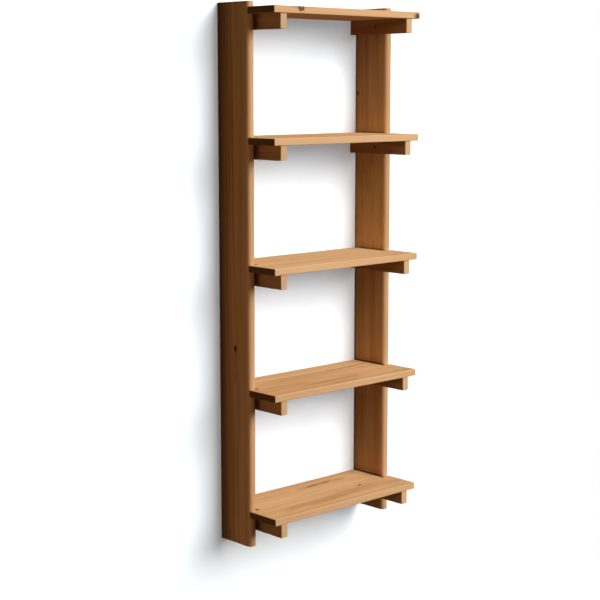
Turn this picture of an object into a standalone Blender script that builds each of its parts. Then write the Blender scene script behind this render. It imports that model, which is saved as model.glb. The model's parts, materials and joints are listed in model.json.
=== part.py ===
"""Wall-hung shelving unit in oiled softwood.

Two uprights stand with their rear edges on the wall. Pairs of bearers are dowelled and
screwed to their inner faces, and carry notched shelves that lap round the uprights.
X runs along the shelves, the wall is the plane Y = 0, the front faces -Y, and Z = 0 is
the lower end of the uprights. All sizes are in metres.
"""

import math

import bmesh
import bpy
from mathutils import Euler, Vector

# Uprights
UPRIGHT_HEIGHT = 1.900
UPRIGHT_DEPTH = 0.158
UPRIGHT_THICKNESS = 0.034
UPRIGHT_FRONT_FLAT = 0.005
INNER_WIDTH = 0.640

# Shelves, numbered from the lowest
SHELF_COUNT = 5
SHELF_DEPTH = 0.293
SHELF_THICKNESS = 0.024
LOWEST_SHELF_HEIGHT = 0.131
UPRIGHT_RISE_ABOVE_TOP_SHELF = 0.019

# Bearers
BEARER_THICKNESS = 0.028
BEARER_HEIGHT = 0.051
BEARER_SETBACK = 0.007

# Bearer screws, sunk in counterbores on the bearers' inner faces
SCREW_HEAD_RADIUS = 0.0045
SCREW_HEAD_HEIGHT = 0.0045
SCREW_HEAD_CHAMFER = 0.0006
SCREW_SHANK_RADIUS = 0.0025
SCREW_TIP_LENGTH = 0.005
SCREW_TIP_COVER = 0.008
SCREW_SOCKET_RADIUS = 0.0023
SCREW_SOCKET_DEPTH = 0.0025
SCREW_FRONT_INSET = 0.030
COUNTERBORE_DEPTH = 0.0075
COUNTERBORE_CLEARANCE = 0.0012

# Bearer dowels, hidden between bearer and upright
DOWEL_RADIUS = 0.004
DOWEL_EMBEDMENT = 0.014
DOWEL_CHAMFER = 0.001
DOWEL_BACK_INSET = 0.030

# Keyhole hanger plates, let into the uprights' rear edges
PLATE_WIDTH = 0.020
PLATE_HEIGHT = 0.060
PLATE_THICKNESS = 0.002
PLATE_DROP = 0.150
PLATE_SCREW_END_INSET = 0.008
KEYHOLE_ENTRY_RADIUS = 0.005
KEYHOLE_SLOT_RADIUS = 0.0026
KEYHOLE_RISE = 0.014
POCKET_MARGIN = 0.002
POCKET_DEPTH = 0.014

# Countersunk screws of the hanger plates
PLATE_SCREW_HEAD_RADIUS = 0.0034
PLATE_SCREW_HEAD_HEIGHT = 0.0017
PLATE_SCREW_SHANK_RADIUS = 0.0015
PLATE_SCREW_LENGTH = 0.016
PLATE_SCREW_TIP_LENGTH = 0.003
PLATE_SCREW_SLOT_WIDTH = 0.0009
PLATE_SCREW_SLOT_DEPTH = 0.0006

# Arrises and clearances
SHELF_ARRIS = 0.0025
BEARER_ARRIS = 0.0010
UPRIGHT_ARRIS = 0.0015
FIT_GAP = 0.0003
NOTCH_SIDE_CLEARANCE = 0.0020
NOTCH_FRONT_CLEARANCE = 0.0005

# Facets and modelling aids
ROUND_STEPS = 12
HEXAGON_STEPS = 6
CORNER_STEPS = 8
ARRIS_STEPS = 2
CHAMFER_STEPS = 1
CUT_OVERRUN = 0.002
WELD_DISTANCE = 0.00001
SHARP_ANGLE = math.radians(35)
ARRIS_ANGLE = math.radians(60)
QUARTER_TURN = math.radians(90)

SIDES = {"left": -1, "right": 1}

# Finishes: linear colour, roughness and metallic value
WOOD_METALLIC = 0.0
STEEL_METALLIC = 1.0
UPRIGHT_PINE = ((0.46, 0.22, 0.075, 1.0), 0.50, WOOD_METALLIC)
SHELF_PINE = ((0.54, 0.28, 0.10, 1.0), 0.45, WOOD_METALLIC)
BEARER_PINE = ((0.50, 0.25, 0.09, 1.0), 0.55, WOOD_METALLIC)
DOWEL_BEECH = ((0.62, 0.42, 0.24, 1.0), 0.60, WOOD_METALLIC)
SCREW_STEEL = ((0.06, 0.055, 0.05, 1.0), 0.40, STEEL_METALLIC)
PLATE_STEEL = ((0.56, 0.57, 0.58, 1.0), 0.40, STEEL_METALLIC)
PLATE_SCREW_STEEL = ((0.52, 0.53, 0.54, 1.0), 0.35, STEEL_METALLIC)


def shelf_top(level):
    """Height of a shelf's upper face; the shelves are evenly spaced."""
    highest = UPRIGHT_HEIGHT - UPRIGHT_RISE_ABOVE_TOP_SHELF
    pitch = (highest - LOWEST_SHELF_HEIGHT) / (SHELF_COUNT - 1)
    return LOWEST_SHELF_HEIGHT + (level - 1) * pitch


def bearer_top(level):
    """Height of the bearers' upper faces under a shelf."""
    return shelf_top(level) - SHELF_THICKNESS - FIT_GAP


def bearer_face():
    """Distance from mid-width to a bearer's inner face, where its screw goes in."""
    return INNER_WIDTH / 2 - FIT_GAP - BEARER_THICKNESS


def upright_front_radius():
    """Radius of an upright's front edges, which leave a narrow flat between them."""
    return (UPRIGHT_THICKNESS - UPRIGHT_FRONT_FLAT) / 2


def clear_scene():
    """Removes every object, so that the model starts from nothing."""
    for item in list(bpy.data.objects):
        bpy.data.objects.remove(item, do_unlink=True)


def new_collection(name):
    """A collection in the scene."""
    collection = bpy.data.collections.new(name)
    bpy.context.scene.collection.children.link(collection)
    return collection


def new_material(name, finish):
    """A Principled BSDF material."""
    colour, roughness, metallic = finish
    material = bpy.data.materials.new(name)
    material.use_nodes = True
    shader = material.node_tree.nodes["Principled BSDF"]
    shader.inputs["Base Color"].default_value = colour
    shader.inputs["Roughness"].default_value = roughness
    shader.inputs["Metallic"].default_value = metallic
    material.diffuse_color = colour
    return material


def new_object(name, mesh, collection, material=None):
    """An object for a mesh, in a collection, with one material."""
    item = bpy.data.objects.new(name, mesh)
    collection.objects.link(item)
    if material is not None and not mesh.materials:
        mesh.materials.append(material)
    return item


def mark_cutter(item):
    """Shows an object as a wire guide that is never rendered."""
    item.hide_render = True
    item.display_type = "WIRE"
    return item


def box(name, low, high, collection, material=None):
    """A cuboid between two corners, with its origin at its centre."""
    low, high = Vector(low), Vector(high)
    shape = bmesh.new()
    bmesh.ops.create_cube(shape, size=1.0)
    bmesh.ops.scale(shape, vec=high - low, verts=shape.verts)
    mesh = bpy.data.meshes.new(name)
    shape.to_mesh(mesh)
    shape.free()
    item = new_object(name, mesh, collection, material)
    item.location = (low + high) / 2
    return item


def turned(name, profile, collection, material=None):
    """A solid of revolution about Z from (radius, height) points, listed from the top down."""
    mesh = bpy.data.meshes.new(name)
    points = [(radius, 0.0, height) for radius, height in profile]
    edges = [(index, index + 1) for index in range(len(points) - 1)]
    mesh.from_pydata(points, edges, [])
    item = new_object(name, mesh, collection, material)
    screw = item.modifiers.new("revolve", "SCREW")
    screw.axis = "Z"
    screw.angle = 2 * math.pi
    screw.steps = ROUND_STEPS
    screw.render_steps = ROUND_STEPS
    screw.use_merge_vertices = True
    screw.merge_threshold = WELD_DISTANCE
    return item


def cut(item, cutter):
    """Takes a cutter's volume out of an object."""
    boolean = item.modifiers.new("cut_" + cutter.name, "BOOLEAN")
    boolean.operation = "DIFFERENCE"
    boolean.solver = "EXACT"
    boolean.object = cutter


def ease(item, width, segments):
    """Rounds every sharp edge of an object."""
    bevel = item.modifiers.new("arris", "BEVEL")
    bevel.width = width
    bevel.segments = segments
    bevel.limit_method = "ANGLE"
    bevel.angle_limit = ARRIS_ANGLE


def finish_round(item):
    """Fixes an object's modifiers into its mesh and shades it smooth between its sharp edges."""
    bpy.context.view_layer.update()
    evaluated = item.evaluated_get(bpy.context.evaluated_depsgraph_get())
    mesh = bpy.data.meshes.new_from_object(evaluated)
    item.modifiers.clear()
    item.data = mesh
    mesh.shade_smooth()
    mesh.set_sharp_from_angle(angle=SHARP_ANGLE)


def round_front_edges(item):
    """Rounds the two long edges at the front of an upright."""
    weights = item.data.attributes.new("bevel_weight_edge", "FLOAT", "EDGE")
    front = -UPRIGHT_DEPTH / 2
    for edge in item.data.edges:
        ends = [item.data.vertices[index].co for index in edge.vertices]
        upright_edge = abs(ends[0].z - ends[1].z) > UPRIGHT_HEIGHT / 2
        if upright_edge and ends[0].y < front / 2:
            weights.data[edge.index].value = 1.0
    bevel = item.modifiers.new("front_round", "BEVEL")
    bevel.width = upright_front_radius()
    bevel.segments = CORNER_STEPS
    bevel.limit_method = "WEIGHT"


def make_upright(side, collection, material):
    """One upright: a board on edge against the wall, with a front that is nearly half round."""
    sign = SIDES[side]
    faces = sorted((sign * INNER_WIDTH / 2, sign * (INNER_WIDTH / 2 + UPRIGHT_THICKNESS)))
    low = (faces[0], -UPRIGHT_DEPTH, 0.0)
    high = (faces[1], 0.0, UPRIGHT_HEIGHT)
    upright = box(f"{side}_upright", low, high, collection, material)
    round_front_edges(upright)
    ease(upright, UPRIGHT_ARRIS, ARRIS_STEPS)
    return upright


def make_notch_cutters(collection):
    """The space of each upright plus clearance, as tall as the unit."""
    cutters = []
    for side, sign in SIDES.items():
        inner = sign * (INNER_WIDTH / 2 - NOTCH_SIDE_CLEARANCE)
        outer = sign * (INNER_WIDTH / 2 + UPRIGHT_THICKNESS + CUT_OVERRUN)
        low = (min(inner, outer), -UPRIGHT_DEPTH - NOTCH_FRONT_CLEARANCE, -CUT_OVERRUN)
        high = (max(inner, outer), CUT_OVERRUN, UPRIGHT_HEIGHT + CUT_OVERRUN)
        cutters.append(mark_cutter(box(f"{side}_notch", low, high, collection)))
    return cutters


def make_shelf(level, notches, collection, material):
    """One shelf: a board with eased edges, as long as the unit is wide, notched round both uprights."""
    half_length = INNER_WIDTH / 2 + UPRIGHT_THICKNESS
    top = shelf_top(level)
    low = (-half_length, -SHELF_DEPTH, top - SHELF_THICKNESS)
    high = (half_length, 0.0, top)
    shelf = box(f"shelf_{level}", low, high, collection, material)
    ease(shelf, SHELF_ARRIS, ARRIS_STEPS)
    for notch in notches:
        cut(shelf, notch)
    return shelf


def make_bearer(side, level, collection, material):
    """One bearer: a square batten from the wall to just behind the shelf's front edge."""
    sign = SIDES[side]
    inner = sign * bearer_face()
    outer = sign * (bearer_face() + BEARER_THICKNESS)
    top = bearer_top(level)
    low = (min(inner, outer), -(SHELF_DEPTH - BEARER_SETBACK), top - BEARER_HEIGHT)
    high = (max(inner, outer), 0.0, top)
    bearer = box(f"{side}_bearer_{level}", low, high, collection, material)
    ease(bearer, BEARER_ARRIS, CHAMFER_STEPS)
    return bearer


def screw_tip():
    """Depth of a bearer screw's tip, measured from the bearer's inner face."""
    return BEARER_THICKNESS + FIT_GAP + UPRIGHT_THICKNESS - SCREW_TIP_COVER


def screw_profile():
    """Half outline of a bearer screw: tip, shank and head."""
    tip = screw_tip()
    seat = COUNTERBORE_DEPTH - FIT_GAP
    top = seat - SCREW_HEAD_HEIGHT
    return [
        (0.0, tip),
        (SCREW_SHANK_RADIUS, tip - SCREW_TIP_LENGTH),
        (SCREW_SHANK_RADIUS, seat),
        (SCREW_HEAD_RADIUS, seat),
        (SCREW_HEAD_RADIUS, top + SCREW_HEAD_CHAMFER),
        (SCREW_HEAD_RADIUS - SCREW_HEAD_CHAMFER, top),
        (0.0, top),
    ]


def screw_hole_profile():
    """Half outline of a bearer screw's pilot hole and counterbore."""
    tip = screw_tip() + FIT_GAP
    shank = SCREW_SHANK_RADIUS + FIT_GAP
    mouth = SCREW_HEAD_RADIUS + COUNTERBORE_CLEARANCE
    return [
        (0.0, tip),
        (shank, tip - SCREW_TIP_LENGTH),
        (shank, COUNTERBORE_DEPTH),
        (mouth, COUNTERBORE_DEPTH),
        (mouth, -CUT_OVERRUN),
        (0.0, -CUT_OVERRUN),
    ]


def dowel_profile():
    """Half outline of a dowel with chamfered ends, half in the bearer and half in the upright."""
    upper = BEARER_THICKNESS + FIT_GAP + DOWEL_EMBEDMENT
    lower = BEARER_THICKNESS - DOWEL_EMBEDMENT
    return [
        (0.0, upper),
        (DOWEL_RADIUS - DOWEL_CHAMFER, upper),
        (DOWEL_RADIUS, upper - DOWEL_CHAMFER),
        (DOWEL_RADIUS, lower + DOWEL_CHAMFER),
        (DOWEL_RADIUS - DOWEL_CHAMFER, lower),
        (0.0, lower),
    ]


def dowel_hole_profile():
    """Half outline of the hole that a dowel sits in."""
    upper = BEARER_THICKNESS + DOWEL_EMBEDMENT + 2 * FIT_GAP
    lower = BEARER_THICKNESS - DOWEL_EMBEDMENT - FIT_GAP
    radius = DOWEL_RADIUS + FIT_GAP
    return [(0.0, upper), (radius, upper), (radius, lower), (0.0, lower)]


def plate_screw_profile():
    """Half outline of a countersunk screw, measured inwards from the plate's outer face."""
    return [
        (0.0, PLATE_SCREW_LENGTH),
        (PLATE_SCREW_SHANK_RADIUS, PLATE_SCREW_LENGTH - PLATE_SCREW_TIP_LENGTH),
        (PLATE_SCREW_SHANK_RADIUS, FIT_GAP + PLATE_SCREW_HEAD_HEIGHT),
        (PLATE_SCREW_HEAD_RADIUS, FIT_GAP),
        (0.0, FIT_GAP),
    ]


def plate_screw_hole_profile():
    """Half outline of a countersunk screw's hole through the plate and into the upright."""
    tip = PLATE_SCREW_LENGTH + FIT_GAP
    shank = PLATE_SCREW_SHANK_RADIUS + FIT_GAP
    head = PLATE_SCREW_HEAD_RADIUS + FIT_GAP
    return [
        (0.0, tip),
        (shank, tip - PLATE_SCREW_TIP_LENGTH),
        (shank, FIT_GAP + PLATE_SCREW_HEAD_HEIGHT),
        (head, FIT_GAP),
        (head, -CUT_OVERRUN),
        (0.0, -CUT_OVERRUN),
    ]


def place_across(item, side, depth, height):
    """Turns a piece's axis from Z to point out through an upright, and sets it at a bearer's face."""
    sign = SIDES[side]
    item.rotation_euler = Euler((0.0, sign * QUARTER_TURN, 0.0))
    item.location = (sign * bearer_face(), depth, height)


def place_in_back(item, side, height):
    """Turns a piece's axis from Z to point forwards, and sets it on an upright's rear edge."""
    item.rotation_euler = Euler((QUARTER_TURN, 0.0, 0.0))
    item.location = (SIDES[side] * (INNER_WIDTH + UPRIGHT_THICKNESS) / 2, 0.0, height)


def arc(centre_z, radius, start, end):
    """Points along a circular arc in the plane of a hanger plate."""
    points = []
    for step in range(2 * CORNER_STEPS + 1):
        angle = start + (end - start) * step / (2 * CORNER_STEPS)
        points.append((radius * math.cos(angle), centre_z + radius * math.sin(angle)))
    return points


def capsule_outline(width, height):
    """A strip with half-round ends."""
    radius = width / 2
    reach = height / 2 - radius
    return arc(reach, radius, 0.0, math.pi) + arc(-reach, radius, math.pi, 2 * math.pi)


def keyhole_outline():
    """A round entry with a narrower slot above it."""
    entry = -KEYHOLE_RISE / 2
    slot_top = KEYHOLE_RISE / 2
    meet = math.acos(KEYHOLE_SLOT_RADIUS / KEYHOLE_ENTRY_RADIUS)
    slot = arc(slot_top, KEYHOLE_SLOT_RADIUS, 0.0, math.pi)
    return slot + arc(entry, KEYHOLE_ENTRY_RADIUS, math.pi - meet, 2 * math.pi + meet)


def flat_solid(name, outlines, thickness, collection, material=None):
    """A flat piece from closed outlines, from Z = 0 up to its thickness."""
    curve = bpy.data.curves.new(name, "CURVE")
    curve.dimensions = "2D"
    curve.fill_mode = "BOTH"
    curve.extrude = thickness / 2
    for outline in outlines:
        spline = curve.splines.new("POLY")
        spline.points.add(len(outline) - 1)
        for point, (across, along) in zip(spline.points, outline):
            point.co = (across, along, 0.0, 1.0)
        spline.use_cyclic_u = True
    sketch = bpy.data.objects.new(name + "_outline", curve)
    collection.objects.link(sketch)
    bpy.context.view_layer.update()
    evaluated = sketch.evaluated_get(bpy.context.evaluated_depsgraph_get())
    mesh = bpy.data.meshes.new_from_object(evaluated)
    bpy.data.objects.remove(sketch, do_unlink=True)
    shape = bmesh.new()
    shape.from_mesh(mesh)
    bmesh.ops.remove_doubles(shape, verts=shape.verts, dist=WELD_DISTANCE)
    bmesh.ops.translate(shape, vec=(0.0, 0.0, thickness / 2), verts=shape.verts)
    bmesh.ops.recalc_face_normals(shape, faces=shape.faces)
    shape.to_mesh(mesh)
    shape.free()
    return new_object(name, mesh, collection, material)


def join_bearer(side, level, bearer, upright, parts, cutters, screw_mesh, dowel_mesh):
    """Fixes a bearer to its upright with one screw near the front and one dowel near the wall."""
    height = bearer_top(level) - BEARER_HEIGHT / 2
    screw_depth = -(UPRIGHT_DEPTH - SCREW_FRONT_INSET)
    dowel_depth = -DOWEL_BACK_INSET
    fixings = (
        ("screw", screw_mesh, screw_hole_profile(), screw_depth),
        ("dowel", dowel_mesh, dowel_hole_profile(), dowel_depth),
    )
    for kind, mesh, hole_profile, depth in fixings:
        hole = turned(f"{side}_{kind}_hole_{level}", hole_profile, cutters)
        place_across(mark_cutter(hole), side, depth, height)
        cut(bearer, hole)
        cut(upright, hole)
        fixing = new_object(f"{side}_bearer_{kind}_{level}", mesh, parts)
        place_across(fixing, side, depth, height)


def add_hanger(side, upright, parts, cutters, plate_material, screw_mesh):
    """Lets a keyhole plate into an upright's rear edge, over a pocket for the wall screw's head."""
    height = UPRIGHT_HEIGHT - PLATE_DROP
    outline = capsule_outline(PLATE_WIDTH, PLATE_HEIGHT)
    plate_name = f"{side}_hanger_plate"
    plate = flat_solid(plate_name, [outline, keyhole_outline()], PLATE_THICKNESS, parts, plate_material)
    place_in_back(plate, side, height)

    recess_outline = capsule_outline(PLATE_WIDTH + 2 * FIT_GAP, PLATE_HEIGHT + 2 * FIT_GAP)
    recess_depth = PLATE_THICKNESS + FIT_GAP + CUT_OVERRUN
    recess = flat_solid(f"{side}_plate_recess", [recess_outline], recess_depth, cutters)
    place_in_back(mark_cutter(recess), side, height)
    recess.location.y = CUT_OVERRUN

    pocket_width = 2 * (KEYHOLE_ENTRY_RADIUS + POCKET_MARGIN)
    pocket_height = KEYHOLE_RISE + 2 * (KEYHOLE_ENTRY_RADIUS + POCKET_MARGIN)
    pocket_outline = capsule_outline(pocket_width, pocket_height)
    pocket = flat_solid(f"{side}_head_pocket", [pocket_outline], POCKET_DEPTH + CUT_OVERRUN, cutters)
    place_in_back(mark_cutter(pocket), side, height)
    pocket.location.y = CUT_OVERRUN

    cut(upright, recess)
    cut(upright, pocket)
    reach = PLATE_HEIGHT / 2 - PLATE_SCREW_END_INSET
    for place, offset in (("upper", reach), ("lower", -reach)):
        hole = turned(f"{side}_plate_hole_{place}", plate_screw_hole_profile(), cutters)
        place_in_back(mark_cutter(hole), side, height + offset)
        cut(plate, hole)
        cut(upright, hole)
        screw = new_object(f"{side}_hanger_screw_{place}", screw_mesh, parts)
        place_in_back(screw, side, height + offset)


def make_screw_mesh(cutters, material):
    """The mesh that all bearer screws share, with a hexagonal socket in the head."""
    screw = turned("bearer_screw", screw_profile(), cutters, material)
    top = COUNTERBORE_DEPTH - FIT_GAP - SCREW_HEAD_HEIGHT
    shape = bmesh.new()
    bmesh.ops.create_cone(
        shape,
        cap_ends=True,
        segments=HEXAGON_STEPS,
        radius1=SCREW_SOCKET_RADIUS,
        radius2=SCREW_SOCKET_RADIUS,
        depth=2 * SCREW_SOCKET_DEPTH,
    )
    mesh = bpy.data.meshes.new("screw_socket")
    shape.to_mesh(mesh)
    shape.free()
    socket = mark_cutter(new_object("screw_socket", mesh, cutters))
    socket.location.z = top
    cut(screw, socket)
    return take_mesh(screw)


def make_plate_screw_mesh(cutters, material):
    """The mesh that all hanger plate screws share, with a slot across the head."""
    screw = turned("plate_screw", plate_screw_profile(), cutters, material)
    half_width = PLATE_SCREW_SLOT_WIDTH / 2
    half_length = PLATE_SCREW_HEAD_RADIUS + CUT_OVERRUN
    low = (-half_length, -half_width, -CUT_OVERRUN)
    high = (half_length, half_width, FIT_GAP + PLATE_SCREW_SLOT_DEPTH)
    cut(screw, mark_cutter(box("plate_screw_slot", low, high, cutters)))
    return take_mesh(screw)


def take_mesh(item):
    """Finishes a pattern piece, removes its object and keeps its mesh for copies."""
    finish_round(item)
    mesh = item.data
    bpy.data.objects.remove(item, do_unlink=True)
    return mesh


def build():
    """Builds the whole unit."""
    clear_scene()
    parts = new_collection("shelving_unit")
    cutters = new_collection("cutters")

    upright_wood = new_material("upright_pine", UPRIGHT_PINE)
    shelf_wood = new_material("shelf_pine", SHELF_PINE)
    bearer_wood = new_material("bearer_pine", BEARER_PINE)
    dowel_wood = new_material("dowel_beech", DOWEL_BEECH)
    screw_steel = new_material("screw_steel", SCREW_STEEL)
    plate_steel = new_material("plate_steel", PLATE_STEEL)
    plate_screw_steel = new_material("plate_screw_steel", PLATE_SCREW_STEEL)

    screw_mesh = make_screw_mesh(cutters, screw_steel)
    plate_screw_mesh = make_plate_screw_mesh(cutters, plate_screw_steel)
    dowel_mesh = take_mesh(turned("dowel", dowel_profile(), cutters, dowel_wood))
    levels = range(1, SHELF_COUNT + 1)

    for side in SIDES:
        upright = make_upright(side, parts, upright_wood)
        for level in levels:
            bearer = make_bearer(side, level, parts, bearer_wood)
            join_bearer(side, level, bearer, upright, parts, cutters, screw_mesh, dowel_mesh)
        add_hanger(side, upright, parts, cutters, plate_steel, plate_screw_mesh)

    notches = make_notch_cutters(cutters)
    for level in levels:
        make_shelf(level, notches, parts, shelf_wood)

    root = bpy.data.objects.new("shelving_unit_root", None)
    parts.objects.link(root)
    for item in parts.objects:
        if item.type == "MESH":
            item.parent = root


build()
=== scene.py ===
"""Looks of the wall-hung shelving unit: boards, fixings, finishes, light and camera.

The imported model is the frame: X runs along the shelves, the wall is the plane Y = 0, the
front faces -Y, and Z = 0 is the lower end of the uprights. All sizes are in metres.
"""

import json
import math
from collections import namedtuple

import bmesh
import bpy
from mathutils import Euler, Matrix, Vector

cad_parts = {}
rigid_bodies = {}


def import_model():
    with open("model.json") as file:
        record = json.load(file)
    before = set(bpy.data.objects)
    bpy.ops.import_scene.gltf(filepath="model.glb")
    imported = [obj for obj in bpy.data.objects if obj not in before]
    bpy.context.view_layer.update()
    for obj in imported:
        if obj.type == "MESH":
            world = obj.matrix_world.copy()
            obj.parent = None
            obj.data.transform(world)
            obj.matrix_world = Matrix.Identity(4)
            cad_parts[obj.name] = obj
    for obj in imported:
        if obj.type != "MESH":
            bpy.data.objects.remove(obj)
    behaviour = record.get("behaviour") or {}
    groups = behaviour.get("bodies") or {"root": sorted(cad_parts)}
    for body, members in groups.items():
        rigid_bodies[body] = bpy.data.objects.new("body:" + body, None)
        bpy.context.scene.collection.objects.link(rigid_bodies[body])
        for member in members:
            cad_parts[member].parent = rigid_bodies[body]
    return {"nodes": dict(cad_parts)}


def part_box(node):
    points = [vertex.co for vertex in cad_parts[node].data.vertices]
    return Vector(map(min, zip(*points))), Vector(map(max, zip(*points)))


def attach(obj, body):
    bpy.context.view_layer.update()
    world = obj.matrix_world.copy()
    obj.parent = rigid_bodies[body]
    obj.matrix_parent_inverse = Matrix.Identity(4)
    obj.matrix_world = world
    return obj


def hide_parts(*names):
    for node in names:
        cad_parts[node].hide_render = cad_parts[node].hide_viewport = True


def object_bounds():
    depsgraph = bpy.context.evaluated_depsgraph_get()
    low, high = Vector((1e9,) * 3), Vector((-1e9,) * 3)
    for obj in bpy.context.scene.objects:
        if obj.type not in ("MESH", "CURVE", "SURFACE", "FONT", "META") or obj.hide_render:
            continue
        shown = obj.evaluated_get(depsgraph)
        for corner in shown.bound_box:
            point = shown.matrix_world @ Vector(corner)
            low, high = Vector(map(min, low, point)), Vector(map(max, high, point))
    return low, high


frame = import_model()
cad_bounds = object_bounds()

SIDES = {"left": -1, "right": 1}
SHELF_BODIES = ("lowest_shelf", "second_shelf", "third_shelf", "fourth_shelf", "top_shelf")
LEVELS = range(1, len(SHELF_BODIES) + 1)
AXES = "XYZ"

# Shapes that the boards share with the frame
UPRIGHT_FRONT_FLAT = 0.005
NOTCH_SIDE_CLEARANCE = 0.0020
NOTCH_FRONT_CLEARANCE = 0.0005
NOTCH_RELIEF = 0.0034
FIT_GAP = 0.0003
COUNTERBORE_CLEARANCE = 0.0012
COUNTERBORE_DEPTH = 0.0075
SCREW_SHANK_RADIUS = 0.0025
SCREW_TIP_LENGTH = 0.005
SCREW_HEAD_HEIGHT = 0.0045
SCREW_SOCKET_RADIUS = 0.0023
SCREW_SOCKET_DEPTH = 0.0025
POCKET_DEPTH = 0.014
POCKET_MARGIN = 0.002
KEYHOLE_ENTRY_RADIUS = 0.005
KEYHOLE_SLOT_RADIUS = 0.0026
KEYHOLE_RISE = 0.014
PLATE_SCREW_SHANK_RADIUS = 0.0015
PLATE_SCREW_TIP_LENGTH = 0.003
PLATE_SCREW_HEAD_HEIGHT = 0.0017
PLATE_SCREW_SLOT_WIDTH = 0.0009
PLATE_SCREW_SLOT_DEPTH = 0.0006

# Finer rounding than the frame's
SHELF_ARRIS = 0.0022
SHELF_CORNER_RADIUS = 0.003
BEARER_ARRIS = 0.0012
UPRIGHT_ARRIS = 0.0015
MOUTH_CHAMFER = 0.0005
SCREW_EDGE = 0.0006
PLATE_EDGE = 0.0003
PLATE_EDGE_STEPS = 2
ARRIS_STEPS = 4
CORNER_STEPS = 6
FRONT_STEPS = 16
TURN_STEPS = 48
HEXAGON_STEPS = 6
OVERRUN = 0.002
WELD_DISTANCE = 0.00001
SHARP_ANGLE = math.radians(40)
ARRIS_ANGLE = math.radians(60)
QUARTER_TURN = math.radians(90)

# Camera, set by the photograph's view
CAMERA_YAW = math.radians(42.934)
CAMERA_PITCH = math.radians(8.4205)
CAMERA_DISTANCE = 5.2064
CAMERA_SIDESTEP = -0.0434
CAMERA_HEIGHT = 1.6152
CAMERA_TARGET_Y = -0.1
CAMERA_LENS = 86.51
CAMERA_SENSOR = 36.0


# Shapes

def new_object(name, data):
    """An object in the scene for some data, such as a mesh or a lamp."""
    item = bpy.data.objects.new(name, data)
    bpy.context.scene.collection.objects.link(item)
    return item


def to_object(name, shape):
    """Turns a bmesh into an object with outward faces."""
    bmesh.ops.recalc_face_normals(shape, faces=shape.faces)
    mesh = bpy.data.meshes.new(name)
    shape.to_mesh(mesh)
    shape.free()
    return new_object(name, mesh)


def slab(outline, bottom, top):
    """A flat outline in X and Y, raised from one height to another."""
    shape = bmesh.new()
    face = shape.faces.new([shape.verts.new((x, y, bottom)) for x, y in outline])
    raised = bmesh.ops.extrude_face_region(shape, geom=[face])
    corners = [item for item in raised["geom"] if isinstance(item, bmesh.types.BMVert)]
    bmesh.ops.translate(shape, vec=(0.0, 0.0, top - bottom), verts=corners)
    bmesh.ops.recalc_face_normals(shape, faces=shape.faces)
    return shape


def rectangle(low, high):
    """The outline of a box seen from above."""
    return [(low.x, low.y), (high.x, low.y), (high.x, high.y), (low.x, high.y)]


def round_edges(shape, edges, radius, steps):
    """Rounds some edges of a bmesh."""
    bmesh.ops.bevel(
        shape, geom=edges, offset=radius, offset_type="OFFSET", segments=steps,
        profile=0.5, affect="EDGES", clamp_overlap=True,
    )


def front_edges(shape, middle_y):
    """The edges that run along Z in the front half of a board."""
    found = []
    for edge in shape.edges:
        first, second = (corner.co for corner in edge.verts)
        if (first - second).xy.length < WELD_DISTANCE and first.y < middle_y:
            found.append(edge)
    return found


def ease_edges(shape, radius):
    """Rounds every sharp convex edge of a bmesh."""
    sharp = []
    for edge in shape.edges:
        if edge.is_convex and edge.calc_face_angle(0.0) > ARRIS_ANGLE:
            sharp.append(edge)
    round_edges(shape, sharp, radius, ARRIS_STEPS)


def board_shape(node, arris, front_radius=0.0, front_steps=CORNER_STEPS):
    """A board of a node's size with eased edges and, where asked, rounded front corners."""
    low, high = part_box(node)
    shape = slab(rectangle(low, high), low.z, high.z)
    if front_radius:
        round_edges(shape, front_edges(shape, (low.y + high.y) / 2), front_radius, front_steps)
    ease_edges(shape, arris)
    return shape


def turned(profile):
    """A solid of revolution about Z from (radius, height) points."""
    shape = bmesh.new()
    points = [shape.verts.new((radius, 0.0, height)) for radius, height in profile]
    lines = [shape.edges.new(pair) for pair in zip(points, points[1:])]
    bmesh.ops.spin(
        shape, geom=points + lines, cent=(0.0, 0.0, 0.0), axis=(0.0, 0.0, 1.0),
        angle=2 * math.pi, steps=TURN_STEPS, use_merge=True,
    )
    bmesh.ops.remove_doubles(shape, verts=shape.verts, dist=WELD_DISTANCE)
    return shape


def evaluated_mesh(item):
    """A mesh of what an object's modifiers or its curve come to."""
    bpy.context.view_layer.update()
    evaluated = item.evaluated_get(bpy.context.evaluated_depsgraph_get())
    return bpy.data.meshes.new_from_object(evaluated)


def cut(item, *cutters):
    """Takes the cutters' volumes out of an object and removes them."""
    for cutter in cutters:
        boolean = item.modifiers.new("cut", "BOOLEAN")
        boolean.operation = "DIFFERENCE"
        boolean.solver = "EXACT"
        boolean.object = cutter
    rough = item.data
    item.data = evaluated_mesh(item)
    item.data.name = item.name
    item.modifiers.clear()
    bpy.data.meshes.remove(rough)
    for cutter in cutters:
        mesh = cutter.data
        bpy.data.objects.remove(cutter, do_unlink=True)
        bpy.data.meshes.remove(mesh)


def shade(item):
    """Shades flat faces flat and rounded edges smooth."""
    item.data.shade_smooth()
    item.data.set_sharp_from_angle(angle=SHARP_ANGLE)
    normals = item.modifiers.new("flat_faces", "WEIGHTED_NORMAL")
    normals.mode = "FACE_AREA"
    normals.keep_sharp = True


def stand_for(item, node, body, material):
    """Puts a finer piece in a node's place, on the node's body."""
    item.data.materials.clear()
    item.data.materials.append(material)
    shade(item)
    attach(item, body)
    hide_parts(node)


# Places read from the frame

def middle(node):
    """The centre of a node's box."""
    low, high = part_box(node)
    return (low + high) / 2


def place_across(item, side, place):
    """Points a piece's Z axis out through an upright, and sets the piece at a place."""
    item.rotation_euler = Euler((0.0, SIDES[side] * QUARTER_TURN, 0.0))
    item.location = place
    return item


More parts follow.
